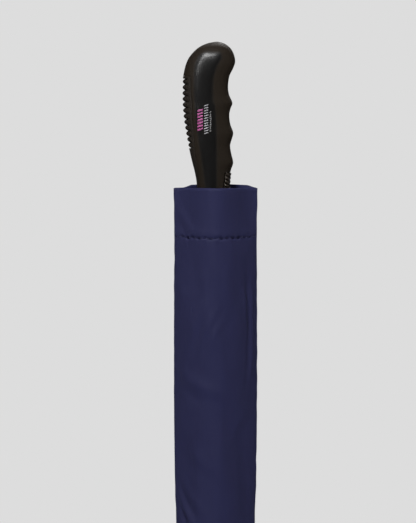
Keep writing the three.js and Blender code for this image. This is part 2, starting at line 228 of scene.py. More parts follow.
def profile_through(points):
    """A smooth curve through (z, value) points, listed from the top down, read back by height."""
    samples = []
    steps = 24
    for k in range(len(points) - 1):
        p0 = Vector(points[max(k - 1, 0)])
        p1 = Vector(points[k])
        p2 = Vector(points[k + 1])
        p3 = Vector(points[min(k + 2, len(points) - 1)])
        for step in range(steps):
            t = step / steps
            samples.append(0.5 * (2 * p1 + (p2 - p0) * t + (2 * p0 - 5 * p1 + 4 * p2 - p3) * t * t
                                  + (3 * p1 - p0 - 3 * p2 + p3) * t ** 3))
    samples.append(Vector(points[-1]))

    def read(z):
        if z >= samples[0].x:
            return samples[0].y
        low, high = 0, len(samples) - 1
        while high - low > 1:
            middle = (low + high) // 2
            if samples[middle].x >= z:
                low = middle
            else:
                high = middle
        above, below = samples[low], samples[high]
        return mix(above.y, below.y, min(1, (above.x - z) / max(above.x - below.x, 1e-9)))

    return read


# ---- material helpers -------------------------------------------------------------------------
class Shader:
    """A Principled material and short ways to add nodes to it."""

    def __init__(self, name, **sockets):
        self.material = bpy.data.materials.new(name)
        self.material.use_nodes = True
        self.tree = self.material.node_tree
        self.shader = self.tree.nodes["Principled BSDF"]
        for socket, value in sockets.items():
            self.shader.inputs[socket.replace("_", " ")].default_value = value

    def node(self, kind, **settings):
        made = self.tree.nodes.new(kind)
        for key, value in settings.items():
            setattr(made, key, value)
        return made

    def link(self, source, target):
        self.tree.links.new(source, target)

    def place(self, scale=(1, 1, 1)):
        coordinates = self.node("ShaderNodeTexCoord")
        mapping = self.node("ShaderNodeMapping")
        mapping.inputs["Scale"].default_value = scale
        self.link(coordinates.outputs["Object"], mapping.inputs["Vector"])
        return mapping.outputs["Vector"]

    def noise(self, scale, detail=3, stretch=(1, 1, 1)):
        texture = self.node("ShaderNodeTexNoise")
        texture.inputs["Scale"].default_value = scale
        texture.inputs["Detail"].default_value = detail
        self.link(self.place(stretch), texture.inputs["Vector"])
        return texture.outputs["Fac"]

    def wave(self, pitch, direction):
        """Bands across a direction, one every pitch metres. At scale 1 there are 20 in 2 pi."""
        texture = self.node("ShaderNodeTexWave", bands_direction=direction)
        texture.inputs["Scale"].default_value = 2 * math.pi / pitch / 20
        self.link(self.place(), texture.inputs["Vector"])
        return texture.outputs["Fac"]

    def attribute(self, name):
        return self.node("ShaderNodeAttribute", attribute_name=name).outputs["Fac"]

    def spread(self, value, low, high):
        """A 0 to 1 value mapped onto low to high."""
        ranged = self.node("ShaderNodeMapRange")
        ranged.inputs["To Min"].default_value = low
        ranged.inputs["To Max"].default_value = high
        self.link(value, ranged.inputs["Value"])
        return ranged.outputs["Result"]

    def mixed(self, share, first, second):
        """A colour between two colours. Each is a colour or a socket."""
        blend = self.node("ShaderNodeMix", data_type="RGBA")
        self.link(share, blend.inputs["Factor"])
        colour_a, colour_b = blend.inputs[6], blend.inputs[7]
        for colour, socket in ((first, colour_a), (second, colour_b)):
            if isinstance(colour, tuple):
                socket.default_value = (*colour, 1)
            else:
                self.link(colour, socket)
        return blend.outputs[2]

    def sum(self, first, second, operation="ADD"):
        maths = self.node("ShaderNodeMath", operation=operation)
        for value, socket in ((first, maths.inputs[0]), (second, maths.inputs[1])):
            if isinstance(value, (int, float)):
                socket.default_value = value
            else:
                self.link(value, socket)
        return maths.outputs[0]

    def bumps(self, *layers):
        """Bump layers of (height socket, depth in metres), from the coarse to the fine."""
        below = None
        for height, depth in layers:
            bump = self.node("ShaderNodeBump")
            bump.inputs["Strength"].default_value = 1
            bump.inputs["Distance"].default_value = depth
            self.link(height, bump.inputs["Height"])
            if below is not None:
                self.link(below, bump.inputs["Normal"])
            below = bump.outputs["Normal"]
        self.link(below, self.shader.inputs["Normal"])

    def colour(self, socket):
        self.link(socket, self.shader.inputs["Base Color"])

    def rough(self, socket):
        self.link(socket, self.shader.inputs["Roughness"])


# The matt skin over the handle's glossy plastic: its colour, its gloss and how much rougher it is.
SOFT_TONE = (0.0168, 0.0126, 0.0089)
SOFT_GLOSS = 0.09
SOFT_ROUGHER = 0.3

# The canopy and the sleeve are woven at this pitch.
THREAD_PITCH = 0.42 * MM


def moulded(name, dark, light, rough_low, rough_high, grain_depth, soft=None, gloss=0.34):
    """Moulded plastic or rubber. soft is an attribute that turns it to a warmer, duller surface."""
    s = Shader(name, Specular_IOR_Level=gloss)
    cloud = s.noise(55, 4)
    tone = s.mixed(cloud, dark, light)
    rough = s.spread(s.noise(120, 3), rough_low, rough_high)
    if soft:
        mask = s.attribute(soft)
        tone = s.mixed(mask, tone, SOFT_TONE)
        rough = s.sum(rough, s.spread(mask, 0, SOFT_ROUGHER))
        s.link(s.spread(mask, gloss, SOFT_GLOSS), s.shader.inputs["Specular IOR Level"])
    s.colour(tone)
    s.rough(rough)
    s.bumps((s.noise(260, 2), grain_depth * 2), (s.noise(2600, 2), grain_depth))
    return s.material


def cloth(name, dark, light, sheen, rough=(0.58, 0.72)):
    """Plain woven polyester: two crossed sets of threads, uneven tone and a faint sheen."""
    s = Shader(name, Specular_IOR_Level=0.12, Sheen_Weight=sheen, Sheen_Roughness=0.45,
               Sheen_Tint=(0.55, 0.6, 1, 1))
    weave = s.sum(s.wave(THREAD_PITCH, "X"), s.wave(THREAD_PITCH, "Z"), "MULTIPLY")
    slubs = s.noise(700, 2, (1, 1, 0.06))
    cloud = s.noise(14, 3, (1, 1, 0.35))
    tone = s.mixed(cloud, dark, light)
    tone = s.mixed(s.spread(weave, 0, 0.16), tone, tuple(c * 1.7 for c in light))
    s.colour(s.mixed(s.spread(slubs, 0, 0.14), tone, tuple(c * 0.6 for c in dark)))
    s.rough(s.spread(s.noise(30, 3, (1, 1, 0.3)), *rough))
    s.bumps((s.noise(70, 4, (1, 1, 0.4)), 0.0009), (slubs, 0.00003), (weave, 0.00003))
    return s.material


def brushed(name, colour, rough=(0.22, 0.38), metallic=1.0):
    s = Shader(name, Metallic=metallic)
    streaks = s.noise(900, 3, (1, 1, 0.04))
    s.colour(s.mixed(s.noise(80, 2), colour, tuple(c * 0.8 for c in colour)))
    s.rough(s.spread(streaks, *rough))
    s.bumps((streaks, 0.000012),)
    return s.material


def fibreglass(name, colour):
    s = Shader(name, Coat_Weight=0.35, Coat_Roughness=0.16, Specular_IOR_Level=0.45)
    fibres = s.noise(1500, 2, (1, 1, 0.012))
    s.colour(s.mixed(fibres, colour, tuple(c * 2.2 for c in colour)))
    s.rough(s.spread(fibres, 0.3, 0.46))
    s.bumps((fibres, 0.00001),)
    return s.material


handle_plastic = moulded("handle_plastic", (0.0034, 0.0032, 0.0031), (0.0054, 0.005, 0.0048),
                         0.3, 0.38, 0.000012, soft="soft_touch")
grip_rubber = moulded("grip_rubber", (0.0118, 0.0091, 0.0066), (0.0172, 0.0132, 0.0096),
                      0.58, 0.72, 0.00002, gloss=0.2)
button_plastic = moulded("button_plastic", (0.034, 0.027, 0.0205), (0.048, 0.0385, 0.0295),
                         0.38, 0.5, 0.000015)
frame_plastic = moulded("frame_plastic", (0.009, 0.009, 0.0095), (0.0145, 0.0145, 0.015),
                        0.4, 0.55, 0.000015)
tip_rubber = moulded("tip_rubber", (0.008, 0.008, 0.008), (0.015, 0.015, 0.015),
                     0.6, 0.75, 0.00003)
sleeve_cloth = cloth("sleeve_cloth", (0.0165, 0.0175, 0.056), (0.022, 0.0235, 0.072), 0.03)
canopy_cloth = cloth("canopy_cloth", (0.0185, 0.02, 0.062), (0.025, 0.027, 0.078), 0.05,
                     (0.46, 0.6))
sewing_thread = cloth("sewing_thread", (0.012, 0.0125, 0.034), (0.018, 0.019, 0.048), 0.3)
steel = brushed("steel", (0.56, 0.57, 0.58))
eyelet_metal = brushed("eyelet_metal", (0.3, 0.3, 0.31), (0.34, 0.5), metallic=0.35)
shaft_glass = fibreglass("shaft_glass", (0.0075, 0.0075, 0.0085))
rib_glass = fibreglass("rib_glass", (0.011, 0.011, 0.012))


def finished(obj, material, slot, *replaced):
    obj.data.materials.clear()
    obj.data.materials.append(material)
    if replaced:
        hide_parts(*replaced)


# ---- handle -----------------------------------------------------------------------------------
HANDLE_POWER = 2.45
palm_side = profile_through([
    (62, 1), (60.6, -6), (57, -13.3), (50.4, -19.8), (44, -23.1), (37, -24.9), (30, -25.7),
    (14, -25.9), (0, -24.9), (-12, -23.1), (-24, -20.8), (-35, -18.3), (-45, -15.8), (-55, -14.3),
    (-76, -13.6)])
finger_side = profile_through([
    (62, 3), (60.6, 8), (57, 12.9), (52, 15.8), (46, 17), (40.6, 15.4), (34, 12.3), (26, 11.2),
    (19, 12), (12.3, 14.7), (7.8, 13.3), (2.5, 12.2), (-5, 13), (-12.3, 15.4), (-18.5, 13.9),
    (-23, 12.9), (-29, 13.8), (-36.5, 15.4), (-41.5, 13.9), (-46, 12.9), (-55, 12.2), (-76, 12)])
half_depth = profile_through([
    (62, 1.5), (60.6, 6), (57, 10.5), (50, 13.6), (40, 15), (20, 15.4), (0, 15.2), (-20, 14.4),
    (-35, 13.6), (-50, 12.8), (-76, 12.4)])
HANDLE_TOP, HANDLE_END = 62, -75
DOME_HEIGHT = 14

# The glossy panel on each flat side: a tongue of bare plastic in the matt skin, a little proud.
PANEL_TOP = 54.5
PANEL_PROUD, PANEL_EDGE = 0.4, 2.8
panel_palm_side = profile_through([
    (55, -6), (52, -12), (48, -15), (42, -17.4), (25, -18), (11, -17.4), (-14, -14.9), (-35, -11.6),
    (-56, -9), (-76, -8)])
panel_finger_side = profile_through([
    (55, 4), (52, 7), (48, 6.8), (43, 4), (36, 1.6), (29, 0.4), (15, 0.4), (8, 2.2),
    (-16, 3.3), (-56, 3.3), (-76, 3.2)])

TOOTH_PITCH = 4.73
TOOTH_DEPTH = 2.1
STRIP_TOP = 32
STRIP_TOOTH_END = STRIP_TOP - 12 * TOOTH_PITCH
STRIP_END = -57
GRIP_PROUD, GRIP_BACK, GRIP_RIM_SUNK = 0.08, -2.7, 0.12

# The strip begins at this palm share. It lies in a recess with sloping ends and sides.
strip_reach = profile_through([
    (34, 0.68), (14, 0.62), (-10, 0.66), (-26, 0.74), (-42, 0.84), (-57, 0.95)])
RECESS_DEPTH = 2.6
RECESS_TOP, RECESS_TOP_SLOPE = STRIP_TOP + 2.2, 0.3
RECESS_END, RECESS_END_SLOPE = STRIP_END - 1, 1.2
RECESS_SIDE_SLOPE = 0.05

# The button, smaller at its back, and the well it moves in.
BUTTON_TOP, BUTTON_END, BUTTON_HALF_WIDTH = -44.9, -68.1, 10
BUTTON_THICKNESS, BUTTON_PROUD, BUTTON_RIM_SUNK = 1.7, 0.2, 0.7
BUTTON_BACK_INSET, BUTTON_BACK_SHARE = 0.8, 0.88
CHEVRON_PITCH, CHEVRON_SLOPE, CHEVRON_DEPTH = 3.1, 0.42, 0.74
WELL_GAP, WELL_SIDE_GAP, WELL_DEPTH = 0.2, 0.4, 4.8
WELL_END_SLOPE, WELL_SIDE_SLOPE = 0.25, 0.1

MARK_PROUD, MARK_SUNK = 0.05, -0.2


def rounded(value):
    return math.copysign(abs(value) ** (2 / HANDLE_POWER), value)


def handle_point(angle, z, out=0.0):
    """A point on the handle's skin, in metres, pushed out by out mm. Angle 0 faces the fingers."""
    palm, finger = palm_side(z), finger_side(z)
    centre, half_width = (palm + finger) / 2, (finger - palm) / 2
    x = centre + (half_width + out) * rounded(math.cos(angle))
    y = (half_depth(z) + out) * rounded(math.sin(angle))
    return Vector((x, y, z)) * MM


def palm_share(angle):
    """How far towards the palm edge a section angle lies: 0 in the middle, 1 at the edge."""
    return -rounded(math.cos(angle))


def tooth_height(z):
    """1 on the crests and past the ends of the toothed part, 0 in the grooves."""
    if not STRIP_TOOTH_END <= z <= STRIP_TOP:
        return 1.0
    return abs(math.sin(math.pi * (STRIP_TOP - z) / TOOTH_PITCH)) ** 0.8


def panel_depth(x, z):
    """How far inside the glossy panel's outline a place on the handle lies, in mm."""
    return min(x - panel_palm_side(z), panel_finger_side(z) - x, PANEL_TOP - z)


def section_angle(across, z):
    """The section angle at which the skin stands this many mm from the middle plane."""
    return math.asin(min(1, across / half_depth(z)) ** (HANDLE_POWER / 2))


def panel_rise(inside):
    return PANEL_PROUD * smoothstep(inside / (2 * PANEL_EDGE))


def make_handle():
    dome_steps, steps, sides = 16, 190, 112
    levels = [HANDLE_TOP - DOME_HEIGHT * (1 - math.cos(math.pi / 2 * k / dome_steps))
              for k in range(dome_steps + 1)]
    levels += [mix(levels[-1], HANDLE_END, k / steps) for k in range(1, steps + 1)]
    well_top, well_end = BUTTON_TOP + WELL_GAP, BUTTON_END - WELL_GAP
    levels += [well_top + WELL_END_SLOPE, well_top, well_end, well_end - WELL_END_SLOPE]
    levels += [RECESS_TOP, RECESS_TOP - RECESS_TOP_SLOPE]
    levels.sort(reverse=True)
    pitch = 2 * math.pi / sides
    rings, soft = [], []
    for z in levels:
        ring = []
        reach = strip_reach(z)
        recess = RECESS_DEPTH * smoothstep((RECESS_TOP - z) / RECESS_TOP_SLOPE)
        recess *= smoothstep((z - RECESS_END) / RECESS_END_SLOPE)
        window = well_end <= z <= well_top
        floor_edge = section_angle(BUTTON_HALF_WIDTH + WELL_SIDE_GAP, z)
        wall_edge = section_angle(BUTTON_HALF_WIDTH + WELL_SIDE_GAP + WELL_SIDE_SLOPE, z)
        for side in range(sides):
            angle = 2 * math.pi * ((side + sides / 2) % sides - sides / 2) / sides
            if window and abs(angle) <= floor_edge < abs(angle) + pitch:
                angle = math.copysign(floor_edge, angle)
            elif window and abs(angle) - pitch <= floor_edge < abs(angle):
                angle = math.copysign(wall_edge, angle)
            sunk = recess * smoothstep((palm_share(angle) - reach) / RECESS_SIDE_SLOPE)
            inside = panel_depth(handle_point(angle, z).x / MM, z)
            point = handle_point(angle, z, panel_rise(inside) - sunk)
            if window and abs(angle) <= floor_edge:
                point.x -= WELL_DEPTH * MM
            ring.append(point)
            soft.append(1 - smoothstep(inside / PANEL_EDGE))
        rings.append(ring)
    handle = joined("handle_shell", [rings_part(rings)])
    attribute = handle.data.attributes.new("soft_touch", "FLOAT", "POINT")
    attribute.data.foreach_set("value", soft)
    finished(handle, handle_plastic, "handle_plastic", "handle_body", "handle_pin")
    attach(handle, "root")


def make_back_grip():
    """The toothed strip. Its teeth are tallest along the middle and its rim is rounded."""
    rows = 330
    top = STRIP_TOP + 2
    side_edge, top_edge, end_edge = 0.04, 0.4, 1.6
    tooth_start, tooth_slope = 0.05, 0.55

    def spot(u, v):
        z = mix(top, STRIP_END, v)
        limit = math.acos(min(1, strip_reach(z)) ** (HANDLE_POWER / 2))
        return math.pi + limit * (2 * u - 1), z

    def front(u, v):
        angle, z = spot(u, v)
        from_side = 1 - abs(2 * u - 1)
        rim = rounded_edge(from_side / side_edge)
        rim *= rounded_edge(min((top - z) / top_edge, (z - STRIP_END) / end_edge))
        tooth = TOOTH_DEPTH * (tooth_height(z) - 1)
        tooth *= smoothstep((from_side - tooth_start) / tooth_slope)
        return handle_point(angle, z, GRIP_PROUD * rim - GRIP_RIM_SUNK * (1 - rim) + tooth)

    def back(u, v):
        return handle_point(*spot(u, v), GRIP_BACK)

    grip = joined("back_grip", [sheet_part(48, rows, front, back)])
    finished(grip, grip_rubber, "grip_rubber", "back_grip_strip")
    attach(grip, "root")


def make_button():
    """The ribbed release, round the finger side of the neck. Its ribs are Vs, point down."""
    side_edge, top_edge, end_edge = 0.05, 0.02, 0.03

    def angle_at(u, z):
        return section_angle(BUTTON_HALF_WIDTH, z) * (2 * u - 1)

    def front(u, v):
        z = mix(BUTTON_TOP, BUTTON_END, v)
        angle = angle_at(u, z)
        from_side = 1 - abs(2 * u - 1)
        rim = rounded_edge(min(from_side / side_edge, v / top_edge, (1 - v) / end_edge))
        across = abs(handle_point(angle, z).y) / MM
        phase = math.pi * (z - CHEVRON_SLOPE * across) / CHEVRON_PITCH
        ridge = CHEVRON_DEPTH * (2 * abs(math.cos(phase)) ** 0.8 - 1)
        return handle_point(angle, z, mix(-BUTTON_RIM_SUNK, BUTTON_PROUD + ridge, rim))

    def back(u, v):
        angle = angle_at(u, mix(BUTTON_TOP, BUTTON_END, v)) * BUTTON_BACK_SHARE
        z = mix(BUTTON_TOP - BUTTON_BACK_INSET, BUTTON_END + BUTTON_BACK_INSET, v)
        return handle_point(angle, z, -BUTTON_THICKNESS)

    button = joined("push_button", [sheet_part(72, 170, front, back)])
    finished(button, button_plastic, "button_plastic", "push_button")
    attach(button, "button")


def make_mark():
    """A plain printed mark of slanted dashes in three columns: no letters."""
    columns = [
        ("mark_pink", (0.42, 0.09, 0.27), -11.6, 2.2, 0.75, [6.4 - 2.55 * k for k in range(7)]),
        ("mark_white", (0.36, 0.36, 0.38), -6.7, 1.7, 0.42, [10.4 - 2.05 * k for k in range(12)]),
        ("mark_grey", (0.2, 0.2, 0.205), -3.2, 0.6, 0.5, [5 - 1.7 * k for k in range(10)]),
    ]
    lean = 0.3
    for name, colour, x_middle, half_width, half_length, middles in columns:
        def dash(z_middle, out):
            def point(u, v):
                x = x_middle + half_width * (2 * u - 1)
                z = z_middle + half_length * (1 - 2 * v) + lean * (x - x_middle)
                rise = panel_rise(panel_depth(x, z)) + out
                palm, finger = palm_side(z), finger_side(z)
                share = abs(x - (palm + finger) / 2) / ((finger - palm) / 2 + rise)
                y = -(half_depth(z) + rise) * (1 - share ** HANDLE_POWER) ** (1 / HANDLE_POWER)
                return Vector((x, y, z)) * MM
            return point

        parts = [sheet_part(8, 3, dash(z, MARK_PROUD), dash(z, MARK_SUNK)) for z in middles]
        shader = Shader(name, Roughness=0.45)
        worn = shader.noise(900, 3)
        shader.colour(shader.mixed(shader.spread(worn, 0, 0.35), colour,
                                   tuple(c * 0.6 for c in colour)))
        mark = joined(name, parts)
        finished(mark, shader.material, "handle_plastic")
        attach(mark, "root")


make_handle()
make_back_grip()
make_button()
make_mark()


# ---- shaft, spring, crown, ferrule and runner -------------------------------------------------
def turned(name, profile, material, slot, body, *replaced):
    obj = joined(name, [turned_part([(r * MM, z * MM) for r, z in profile])])
    finished(obj, material, slot, *replaced)
    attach(obj, body)


def make_core():
    turned("shaft_tube", [
        (7, -839.6), (7, 37.6), (6.8, 38), (5.8, 38), (5.6, 37.6), (5.6, -839.6), (5.8, -840),
        (6.8, -840)], shaft_glass, "shaft_fibreglass", "root", "shaft")
    turned("crown_washer", [
        (7.4, -828.6), (11.6, -828.6), (13, -828.2), (17.4, -826.4), (17.9, -825.9), (17.8, -825.4),
        (17, -825.4), (7.4, -825.6)], frame_plastic, "frame_plastic", "root", "crown_cap")
    turned("ferrule_cone", [
        (0.4, -898), (5.2, -898), (5.6, -897.6), (6.2, -880), (6.7, -868), (7.5, -856), (8.2, -850),
        (8.2, -849), (9.2, -846), (9.7, -842), (10.1, -836), (10.2, -830.4), (9.8, -829.8),
        (7.4, -829.8), (7.4, -840.3), (0.4, -840.3)],
        frame_plastic, "frame_plastic", "root", "ferrule")
    turned("ferrule_tip_cap", [
        (0.4, -912), (4.9, -912), (5.6, -911.7), (6.1, -911), (6.25, -909.5), (6.25, -900.6),
        (6, -899.6), (5.5, -898.4), (0.4, -898.4)], tip_rubber, "tip_rubber", "root", "ferrule_tip")
    turned("runner_tube", [
        (7.4, -155.8), (8.4, -156), (8.9, -155.2), (9.3, -154), (9.4, -152), (9.4, -146),
        (9, -145.4), (9, -144.6), (9.4, -144), (9.4, -127.8), (9.8, -127.5), (12, -127.4),
        (12.3, -127), (12.3, -123.6), (12, -123.1), (10.6, -122), (10.3, -120.6), (10, -113),
        (9.6, -112.2), (9, -112), (7.4, -112.2)],
        frame_plastic, "frame_plastic", "runner", "runner_body")


SPRING_TOP, SPRING_END = -76.4, -111.3
SPRING_RADIUS, SPRING_WIRE, SPRING_WIRE_SIDES = 8.5, 0.55, 8
WOUND_TURNS, WOUND_BUNCHED = 27, 0.05
STRETCHED_TURNS, STRETCHED_RADIUS, STRETCHED_WIRE = 40, 8.4, 0.495
# The coil behind the button lies along X.
BUTTON_SPRING_START, BUTTON_SPRING_LENGTH, BUTTON_SPRING_Z = -4.6, 6.5, -56
BUTTON_SPRING_TURNS, BUTTON_SPRING_RADIUS, BUTTON_SPRING_WIRE = 6, 1.1, 0.22


def helix(turns, radius, z_at):
    steps = turns * 20
    path = []
    for k in range(steps + 1):
        angle = 2 * math.pi * turns * k / steps
        across = Vector((radius * math.cos(angle), radius * math.sin(angle), 0))
        path.append((across + Vector((0, 0, z_at(k / steps)))) * MM)
    return path


def make_opening_spring():
    """Wound close while the canopy is shut, and a second set of coils, with more turns, beside
    them.

    Its wire is made thinner along the shaft, by the stretch that the runner's travel would give
    each coil.
    """
    wound = helix(WOUND_TURNS, SPRING_RADIUS, lambda t: mix(SPRING_TOP, SPRING_END, t))
    coils = joined("opening_spring_coils", [
        tube_along(wound, lambda share: SPRING_WIRE * MM, SPRING_WIRE_SIDES)])
    finished(coils, steel, "steel", "opening_spring")
    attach(coils, "root")
    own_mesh(coils)

    path = helix(STRETCHED_TURNS, STRETCHED_RADIUS,
                 lambda t: mix(SPRING_TOP, SPRING_END, inverse_smoothstep(t)))
    points, faces = tube_along(path, lambda share: STRETCHED_WIRE * MM, SPRING_WIRE_SIDES)
    length = (SPRING_TOP - SPRING_END) * MM
    for k, point in enumerate(points):
        middle = path[k // SPRING_WIRE_SIDES]
        share = (SPRING_TOP * MM - middle.z) / length
        stretch = 1 + RUNNER_TRAVEL * MM / length * smoothstep_slope(share)
        point.z = middle.z + (point.z - middle.z) / stretch
    stretched = joined("opening_spring_stretched", [(points, faces)])
    finished(stretched, steel, "steel")
    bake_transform(stretched)


def make_button_spring():
    """A small coil across the shaft, between its wall and the latch plate, which squeezes it."""
    start = Vector((BUTTON_SPRING_START, 0, BUTTON_SPRING_Z)) * MM
    upright = helix(BUTTON_SPRING_TURNS, BUTTON_SPRING_RADIUS, lambda t: BUTTON_SPRING_LENGTH * t)
    path = [start + Vector((point.z, point.x, point.y)) for point in upright]
    coils = joined("button_spring_coils", [
        tube_along(path, lambda share: BUTTON_SPRING_WIRE * MM, 6)])
    finished(coils, steel, "steel", "button_spring")
    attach(coils, "root")
    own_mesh(coils)


make_core()
make_opening_spring()
make_button_spring()

CAD_FINISH = {
    "crown_notch": frame_plastic, "crown_wire": steel, "runner_wire": steel, "latch_plate": steel,
}
for cad_name, cad_material in CAD_FINISH.items():
    cad_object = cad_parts[cad_name]
    for cad_slot in cad_object.material_slots:
        cad_slot.material = cad_material


# ---- ribs, stretchers and canopy --------------------------------------------------------------
RIBS = 8
CROWN_Z, CROWN_RADIUS = -822, 9
KNUCKLE_Z, KNUCKLE_RADIUS = -502, 12
TIP_Z, TIP_RADIUS = -102, 14
RUNNER_Z, RUNNER_RADIUS = -130, 11
RIB_RADII, CAP_RADII = (1.45, 0.95), (1.25, 1.75)
STRETCHER_OFFSET, STRETCHER_RADIUS = 4.2, 1.1
SEAM_GAP, CLOTH_THICKNESS = 0.05, 0.32

# The moulded fittings. A size is outwards, sideways and along. A lift is up from the pivot.
CLIP_SIZE, CLIP_BEVEL, CLIP_LIFT = (4.2, 4.2, 18), 0.8, -7
BRIDGE_SIZE = (2.6, 4.4, 5)
FITTING_SIZE, FITTING_BEVEL = (2.6, 2.6, 18), 0.6
FITTING_TOP_LIFT, FITTING_END_LIFT = -10.5, 8.5
LUG_SIZE, LUG_BEVEL = (2.6, 0.9, 4.4), 0.2


def azimuth_of(index):
    return 2 * math.pi * (index + 0.5) / RIBS


def polar(radius, azimuth, z, offset=0.0):
    """A point in metres from a radius, azimuth, height and sideways offset in mm."""
    x = radius * math.cos(azimuth) - offset * math.sin(azimuth)
    y = radius * math.sin(azimuth) + offset * math.cos(azimuth)
    return Vector((x, y, z)) * MM


def up(z):
    return Vector((0, 0, z)) * MM


def axes_at(azimuth):
    return ((math.cos(azimuth), math.sin(azimuth), 0), (-math.sin(azimuth), math.cos(azimuth), 0),
            (0, 0, 1))


def straight(start, end, count):
    return [start.lerp(end, k / count) for k in range(count + 1)]


def make_rib(index):
    number = index + 1
    azimuth = azimuth_of(index)
    axes = axes_at(azimuth)
    root = polar(CROWN_RADIUS, azimuth, CROWN_Z + 1)
    knuckle = polar(KNUCKLE_RADIUS, azimuth, KNUCKLE_Z)
    tip = polar(TIP_RADIUS, azimuth, TIP_Z - 1)
    path = straight(root, knuckle, 20) + straight(knuckle, tip, 28)[1:]
    rib = joined(f"rib_rod_{number}", [tube_along(path, lambda share: mix(*RIB_RADII, share) * MM)])
    finished(rib, rib_glass, "rib_fibreglass", f"rib_{number}", f"rib_end_{number}")
    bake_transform(rib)

    bridge = polar(KNUCKLE_RADIUS, azimuth, KNUCKLE_Z - 1, STRETCHER_OFFSET / 2)
    clip = joined(f"rib_clip_{number}", [
        rounded_box_part(knuckle + up(CLIP_LIFT), CLIP_SIZE, axes, CLIP_BEVEL),
        rounded_box_part(bridge, BRIDGE_SIZE, axes, FITTING_BEVEL)])
    finished(clip, frame_plastic, "frame_plastic")
    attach(clip, f"rib_{number}")

    def cap_radius(share):
        return mix(*CAP_RADII, smoothstep((share - 0.5) * 3)) * MM

    cap_start = polar(TIP_RADIUS, azimuth, TIP_Z - 9)
    cap_end = polar(TIP_RADIUS, azimuth, TIP_Z + 4)
    cap = joined(f"rib_tip_{number}", [tube_along(straight(cap_start, cap_end, 8), cap_radius)])
    finished(cap, frame_plastic, "frame_plastic")
    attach(cap, f"rib_end_{number}")


def make_stretcher(index):
    number = index + 1
    azimuth = azimuth_of(index)
    axes = axes_at(azimuth)
    top = polar(RUNNER_RADIUS, azimuth, RUNNER_Z, STRETCHER_OFFSET)
    end = polar(KNUCKLE_RADIUS, azimuth, KNUCKLE_Z, STRETCHER_OFFSET)
    rod = tube_along(straight(top.lerp(end, 0.004), end, 12), lambda share: STRETCHER_RADIUS * MM)
    stretcher = joined(f"stretcher_rod_{number}", [
        rod,
        rounded_box_part(top + up(FITTING_TOP_LIFT), FITTING_SIZE, axes, FITTING_BEVEL),
        rounded_box_part(end + up(FITTING_END_LIFT), FITTING_SIZE, axes, FITTING_BEVEL)])
    finished(stretcher, rib_glass, "rib_fibreglass", f"stretcher_{number}")
    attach(stretcher, f"stretcher_{number}")


def make_gore(index, outer):
    """One cloth panel between two ribs, furled: the main canopy's if outer, or the vent's.

    It is narrow here. Across it, the points are spaced by inverse_smoothstep, as each point's share
    of a swing of the far edge out to the next rib would space them.
    """
    number = index + 1
    half_angle = math.pi / RIBS
    middle = azimuth_of(index) + half_angle
    out = Vector((math.cos(middle), math.sin(middle), 0))
    side = Vector((-math.sin(middle), math.cos(middle), 0))
    if outer:
        name, body, top, end = f"gore_{number}", f"rib_end_{number}", TIP_Z + 3, KNUCKLE_Z + 5
        edge_radius, bulge, edge_cut = (16.2, 14.3), (10.5, 2.2), 62
    else:
        name, body, top, end = f"vent_gore_{number}", f"rib_{number}", KNUCKLE_Z + 30, CROWN_Z + 0.6
        edge_radius, bulge, edge_cut = (17, 11.4), (5, 0), 16
    least = min(edge_radius)
    reach = least * math.sin(half_angle)
    inner_share, ripple_height = 0.94, 0.25
    hem_share, hem_slope, hem_thickness = 0.03, 0.008, 0.25

    def face(inset):
        def point(u, v):
            radius = mix(*edge_radius, v)
            arch = math.sin(math.pi * u)
            if u in (0, 1):
                across = (radius * math.sin(half_angle) - SEAM_GAP) * (2 * u - 1)
            else:
                across = reach * (2 * inverse_smoothstep(u) - 1)
            swell = arch ** 0.8 * (1 + 0.2 * math.sin(2 * math.pi * u))
            ripple = noise.noise(Vector((u * 4 + number * 3.1, v * 9, outer * 7))) * ripple_height
            z = mix(top, end, v) - arch ** 0.85 * edge_cut * (1 - v) ** 2
            away = radius * math.cos(half_angle) + mix(*bulge, v) * swell + ripple * arch
            if inset:
                across *= inner_share
                away -= inset + hem_thickness * smoothstep((hem_share - v) / hem_slope)
            return (out * away + side * across + Vector((0, 0, z))) * MM
        return point

    gore = joined(f"{name}_cloth", [sheet_part(28, 46, face(0), face(CLOTH_THICKNESS))])
    finished(gore, canopy_cloth, "canopy_fabric", name)
    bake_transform(gore)


for rib_index in range(RIBS):
    make_rib(rib_index)
    make_stretcher(rib_index)
    make_gore(rib_index, True)
    make_gore(rib_index, False)


def make_lugs():
    """Pairs of lugs on the runner, one pair to each stretcher's root."""
    parts = []
    for index in range(RIBS):
        azimuth = azimuth_of(index)
        for offset in (STRETCHER_OFFSET - 2, STRETCHER_OFFSET + 2):
            centre = polar(RUNNER_RADIUS - 0.4, azimuth, RUNNER_Z + 0.8, offset)
            parts.append(rounded_box_part(centre, LUG_SIZE, axes_at(azimuth), LUG_BEVEL))
    lugs = joined("runner_lugs", parts)
    finished(lugs, frame_plastic, "frame_plastic")
    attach(lugs, "runner")


make_lugs()


# ---- sleeve -----------------------------------------------------------------------------------
SLEEVE_X = 1
SLEEVE_RIM = -57.4
HEM_STITCH = -97.2
SHOULDER, SLEEVE_END = -846, -882
EYELET_OUT = 13.4
# How far the section is pinched flat at its seams: along the bag, and at the rim.
PINCH, RIM_PINCH = 0.35, 0.9
FRONT_LIFT, BACK_LIFT = 0.7, 2.0
SLEEVE_COLUMNS = 180
SLEEVE_THICKNESS = 0.45
SEAM_RADIUS, SEAM_END_RADIUS = 0.5, 0.1

